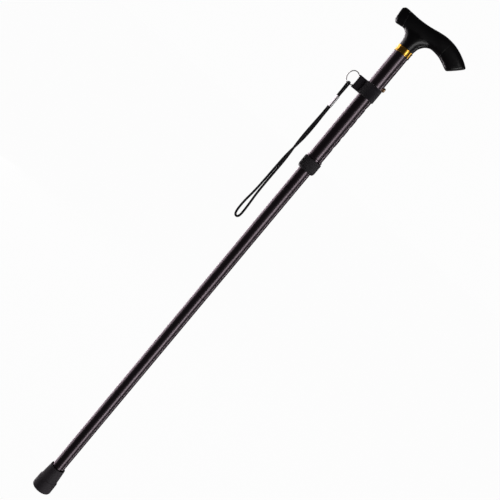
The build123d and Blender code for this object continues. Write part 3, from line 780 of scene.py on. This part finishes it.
collar_low, collar_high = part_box("lock_collar")
collar_radius = collar_high.x
mouth_radius, cavity_radius, floor_rise = 0.009825, 0.01225, 0.0018
skin_low = (collar_radius, collar_low.z + 0.0034)
skin_high = (collar_radius, collar_high.z - 0.0005)
collar_points = [
    (mouth_radius, collar_low.z), (collar_radius - 0.0019, collar_low.z),
    (collar_radius - 0.0002, collar_low.z + 0.0026),
    (collar_radius - 0.0002, collar_low.z + 0.0029),
    (collar_radius - 0.0005, collar_low.z + 0.0030),
    (collar_radius - 0.0005, collar_low.z + 0.0033), skin_low,
]
collar_points += row_between((collar_radius, collar_low.z + 0.0038), skin_high, 8).tolist()
collar_points += [skin_high, (collar_radius - COLLAR_EDGE, collar_high.z),
                  (cavity_radius, collar_high.z), (cavity_radius, collar_low.z + floor_rise),
                  (mouth_radius, collar_low.z + floor_rise)]


def grip_ribs(profile, angle):
    """Rounded ribs: depth * (|sin(ribs * angle / 2)| - 1) on the collar's outer wall only."""
    z = profile[:, 1][:, None]
    outer = np.clip((profile[:, 0][:, None] - collar_radius + 0.0003) / 0.0003, 0, 1)
    middle = np.clip((z - collar_low.z - 0.0034) / 0.0006, 0, 1)
    middle = middle * np.clip((collar_high.z - 0.0004 - z) / 0.0008, 0, 1)
    return -RIB_DEPTH * outer * middle * (1 - np.abs(np.sin(RIBS * angle / 2)))


collar = turned("ribbed_collar", rounded(collar_points, 0.00025, steps=3), columns=RIBS * 8,
                ripple=grip_ribs)
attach(collar, "lock_collar")
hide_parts("lock_collar")
collar_black = grained_finish(
    "collar_black", colours=((0.024, 0.020, 0.024), (0.036, 0.031, 0.036)),
    roughness=(0.52, 0.66), relief=0.00009,
    size=1700.0, blotch_size=110.0, Specular_IOR_Level=0.4)
collar.data.materials.append(collar_black)

collet_glossy = grained_finish(
    "collet_glossy", colours=((0.16, 0.13, 0.15), (0.22, 0.18, 0.20)),
    roughness=(0.20, 0.30), rough_by="height", relief=0.000003,
    size=1900.0, stretch=6.0, blotch_size=60.0, Metallic=1.0)
nodes["lock_collet"].data.materials.clear()
nodes["lock_collet"].data.materials.append(collet_glossy)

# ---- Rubber tip ------------------------------------------------------------------------
# A moulded black rubber boot with a wide tread, a rounded base edge, one gentle step up
# its side and a thin rim. Three grooves are moulded in the tread.
TIP_GROOVES = ((0.0115, 0.0014), (0.0085, 0.0014), (0.0055, 0.0014))
GROOVE_DEPTH = 0.0015
SOCKET_RADIUS = 0.009575
SOCKET_FLOOR = 0.012

tip_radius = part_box("rubber_tip")[1].x
tip_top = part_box("rubber_tip")[1].z
tread = [(0.0002, 0.0)]
for radius, width in reversed(TIP_GROOVES):
    tread += [(radius - width / 2, 0.0), (radius - width / 2, GROOVE_DEPTH),
              (radius + width / 2, GROOVE_DEPTH), (radius + width / 2, 0.0)]
tip_points = tread + [
    (tip_radius - 0.0024, 0.0), (tip_radius - 0.0006, 0.0006), (tip_radius, 0.0024),
    (tip_radius - 0.0003, 0.0183),
    (tip_radius - 0.0010, 0.0194), (tip_radius - 0.0017, 0.0202),
    (tip_radius - 0.0020, 0.0255), (tip_radius - 0.0028, 0.0340),
    (tip_radius - 0.0036, 0.0422), (tip_radius - 0.0041, tip_top),
    (SOCKET_RADIUS + 0.0004, tip_top), (SOCKET_RADIUS, tip_top - 0.0006),
    (SOCKET_RADIUS, SOCKET_FLOOR), (0.0002, SOCKET_FLOOR)]
tip = turned("tip_boot", rounded(tip_points, 0.0006, steps=5), columns=144)
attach(tip, "foot")
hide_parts("rubber_tip")

# Scuffs: rubbed paler patches low on a piece, a mask that rises towards a given height.
scuffs, given, result = new_group(
    "scuffs", {"low": 0.0, "high": 0.01, "size": 400.0}, {"mask": "NodeSocketFloat"})
place = add(scuffs, "ShaderNodeTexCoord", {})
height_above = add(scuffs, "ShaderNodeSeparateXYZ", {"Vector": place.outputs["Object"]})
near = add(scuffs, "ShaderNodeMapRange", {"Value": height_above.outputs["Z"],
                                          "From Min": given.outputs["low"],
                                          "From Max": given.outputs["high"],
                                          "To Min": 1.0, "To Max": 0.0})
rub = add(scuffs, "ShaderNodeTexNoise", {"Vector": place.outputs["Object"],
                                         "Scale": given.outputs["size"], "Detail": 5.0})
patch = add(scuffs, "ShaderNodeMapRange", {"Value": rub.outputs[0], "From Min": 0.45,
                                           "From Max": 0.65})
mask = add(scuffs, "ShaderNodeMath", {0: near.outputs[0], 1: patch.outputs[0]},
           operation="MULTIPLY")
scuffs.links.new(mask.outputs[0], result.inputs["mask"])

rubber_black, tree, shader = new_finish("rubber_black", Specular_IOR_Level=0.35)
pattern = use_group(tree, grain, size=1100.0, blotch_size=70.0)
worn = use_group(tree, scuffs, low=0.0, high=0.006, size=500.0)
plain_rubber = ramp(tree, pattern["blotch"], (0.3, (0.034, 0.028, 0.034)), (0.7, (0.050, 0.042, 0.050)))
rubbed = add(tree, "ShaderNodeMix", {"Factor": worn["mask"], 6: plain_rubber,
                                     7: (0.085, 0.076, 0.082, 1)}, data_type="RGBA")
tree.links.new(rubbed.outputs[2], shader.inputs["Base Color"])
tree.links.new(ramp(tree, pattern["blotch"], (0.3, 0.56), (0.7, 0.72)), shader.inputs["Roughness"])
bump(tree, shader, pattern["height"], 0.00012)
tip.data.materials.append(rubber_black)

# ---- Snap button -----------------------------------------------------------------------
# A turned brass button with a domed head. A V spring inside the extension tube presses it
# out through the highest hole of the upper tube, which is the shortest setting.
BUTTON_EDGE = 0.0007

button_low, button_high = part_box("snap_button")
button_radius = (button_high.y - button_low.y) / 2
button_z = (button_low.z + button_high.z) / 2
button_points = rounded([
    (0.00002, button_high.x), (button_radius * 0.55, button_high.x - 0.00012),
    (button_radius - 0.0004, button_high.x - 0.0005),
    (button_radius, button_high.x - 0.0013), (button_radius, button_low.x),
    (0.00002, button_low.x)], BUTTON_EDGE, steps=6)
a = np.linspace(0, 2 * np.pi, 72, endpoint=False)[None, :]
grid = np.stack([button_points[:, 1][:, None] + 0 * a, button_points[:, 0][:, None] * np.cos(a),
                 button_z + button_points[:, 0][:, None] * np.sin(a)], -1)
button = grid_mesh("button_dome", grid, closed_u=True)
turn_out(button)
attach(button, "snap_button")
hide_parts("snap_button")
button_metal = grained_finish(
    "button_metal", colours=((0.74, 0.47, 0.27), (0.88, 0.60, 0.37)),
    roughness=(0.28, 0.42), relief=0.000005,
    size=1500.0, blotch_size=260.0, Metallic=1.0)
button.data.materials.append(button_metal)

# ---- Inner parts -----------------------------------------------------------------------
# What holds the cane together inside: steel pin, spring, washer and anchors, nylon bush,
# and the elastic cord with its knots. Some show when a joint is pulled open or folded.
steel_plain = grained_finish(
    "steel_plain", colours=((0.42, 0.42, 0.43), (0.60, 0.60, 0.61)),
    roughness=(0.28, 0.45), rough_by="height", relief=0.000005,
    size=1200.0, stretch=3.0, blotch_size=150.0, Metallic=1.0)

nylon_black = grained_finish(
    "nylon_black", colours=((0.022, 0.021, 0.022), (0.035, 0.034, 0.035)),
    roughness=(0.42, 0.56), relief=0.00006,
    size=1500.0, blotch_size=120.0)

nylon_white = grained_finish(
    "nylon_white", colours=((0.66, 0.64, 0.59), (0.78, 0.76, 0.71)),
    roughness=(0.38, 0.52), relief=0.00006,
    size=1300.0, blotch_size=120.0, IOR=1.53)

elastic_braid, tree, shader = new_finish("elastic_braid", Roughness=0.8, Sheen_Weight=0.2)
pattern = use_group(tree, grain, size=1600.0, blotch_size=300.0)
tree.links.new(ramp(tree, pattern["height"], (0.35, (0.012, 0.012, 0.013)), (0.65, (0.060, 0.058, 0.062))),
               shader.inputs["Base Color"])
bump(tree, shader, pattern["height"], 0.0002)

finish_of = {"steel": steel_plain, "nylon": nylon_black, "white_nylon": nylon_white,
             "shock_cord": elastic_braid}
for name, node in nodes.items():
    slot_names = [m.name.split(".")[0] for m in node.data.materials if m]
    for slot_name, finish in finish_of.items():
        if slot_name in slot_names:
            node.data.materials.clear()
            node.data.materials.append(finish)

# ---- Elastic over the folds ------------------------------------------------------------
# A length of the elastic cord at each fold joint, straight along the shaft's axis. It is
# hidden while the cane is straight. It does not span the gap of a pull.
ELASTIC_RADIUS = 0.0022
ELASTIC_UP, ELASTIC_DOWN = 0.009, 0.012
ELASTIC_TURN = 0.0026
BEND_FROM, BEND_TO = 0.0005, -0.0085     # heights about the joint

for index, lower_body, top_tube in ((1, "middle", "middle_tube"), (2, "lower", "lower_tube"),
                                    (3, "foot", "foot_tube")):
    joint_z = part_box(top_tube)[1].z
    z = np.linspace(joint_z - ELASTIC_DOWN, joint_z + ELASTIC_UP, 64)[:, None]
    a = np.linspace(0, 2 * np.pi, 24, endpoint=False)[None, :]
    weave = np.sin(4 * a + 2 * np.pi * z / ELASTIC_TURN) * np.sin(4 * a - 2 * np.pi * z / ELASTIC_TURN)
    radius = ELASTIC_RADIUS * (1 - 0.05 * (0.5 + 0.5 * weave))
    grid = np.stack([radius * np.cos(a), radius * np.sin(a), z + 0 * a], -1)
    elastic = grid_mesh(f"elastic_fold_{index}", grid, caps=True)
    elastic.data.materials.append(elastic_braid)
    bodies = [f"link_{index}", lower_body]
    ends = [(0, 0, joint_z + BEND_FROM), (0, 0, joint_z + BEND_TO)]
    if index != 2:
        # A half turn has two ways round. At the first and third joints the bodies and the ends
        # are listed from below.
        bodies.reverse()
        ends.reverse()
    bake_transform(elastic)

# ---- Studio ----------------------------------------------------------------------------
# A plain pale floor and four tall soft panels: a wide key from the front right, a narrow
# strip further round, and a rim and a wide fill from behind on the left.
PANEL_DISTANCE = 1.6
PANEL_TALL = 2.7
PANEL_MIDDLE = 0.15
FLOOR_REACH = 40

floor_data = bpy.data.meshes.new("floor")
corners = [(x * FLOOR_REACH, y * FLOOR_REACH, 0) for x, y in ((-1, -1), (1, -1), (1, 1), (-1, 1))]
floor_data.from_pydata(corners, [], [(0, 1, 2, 3)])
floor = bpy.data.objects.new("floor", floor_data)
bpy.context.scene.collection.objects.link(floor)
floor_pale, tree, shader = new_finish("floor_pale", Base_Color=(0.01, 0.01, 0.01, 1), Roughness=1.0,
                                      Emission_Color=(0.975, 0.975, 0.975, 1), Emission_Strength=1.0,
                                      Specular_IOR_Level=0.0)
floor.data.materials.append(floor_pale)
floor.visible_diffuse = floor.visible_glossy = floor.visible_shadow = False


def panel(name, bearing, wide, power, tint=(1.0, 1.0, 1.0)):
    """A tall soft panel on a circle about the cane, at a bearing from the camera's side."""
    lamp = bpy.data.lights.new(name, "AREA")
    lamp.shape = "RECTANGLE"
    lamp.size, lamp.size_y = wide, PANEL_TALL
    lamp.energy = power
    lamp.color = tint
    stand = bpy.data.objects.new(name, lamp)
    a = math.radians(bearing)
    place = Vector((PANEL_DISTANCE * math.sin(a), -PANEL_DISTANCE * math.cos(a), PANEL_MIDDLE))
    aim = (Vector((0, 0, PANEL_MIDDLE)) - place).normalized()
    stand.matrix_world = Matrix.Translation(place) @ aim.to_track_quat("-Z", "Y").to_matrix().to_4x4()
    stand.visible_camera = False
    bpy.context.scene.collection.objects.link(stand)


panel("key", 41, 0.50, 12.5)
panel("strip", 104, 0.16, 5.5)
panel("rim", -146, 0.45, 20, tint=(1.0, 0.92, 0.97))
panel("fill", -106, 0.80, 13, tint=(1.0, 0.94, 0.97))

world = bpy.data.worlds.new("studio")
world.use_nodes = True
bpy.context.scene.world = world
tree = world.node_tree
backdrop = tree.nodes["Background"]
backdrop.inputs["Color"].default_value = (0.98, 0.98, 0.98, 1)
dim = add(tree, "ShaderNodeBackground", {"Color": (0.030, 0.028, 0.030, 1)})
seen = add(tree, "ShaderNodeLightPath", {})
either = add(tree, "ShaderNodeMixShader", {0: seen.outputs["Is Camera Ray"],
                                           1: dim.outputs[0], 2: backdrop.outputs[0]})
tree.links.new(either.outputs[0], tree.nodes["World Output"].inputs["Surface"])
bpy.context.scene.view_settings.view_transform = "Standard"
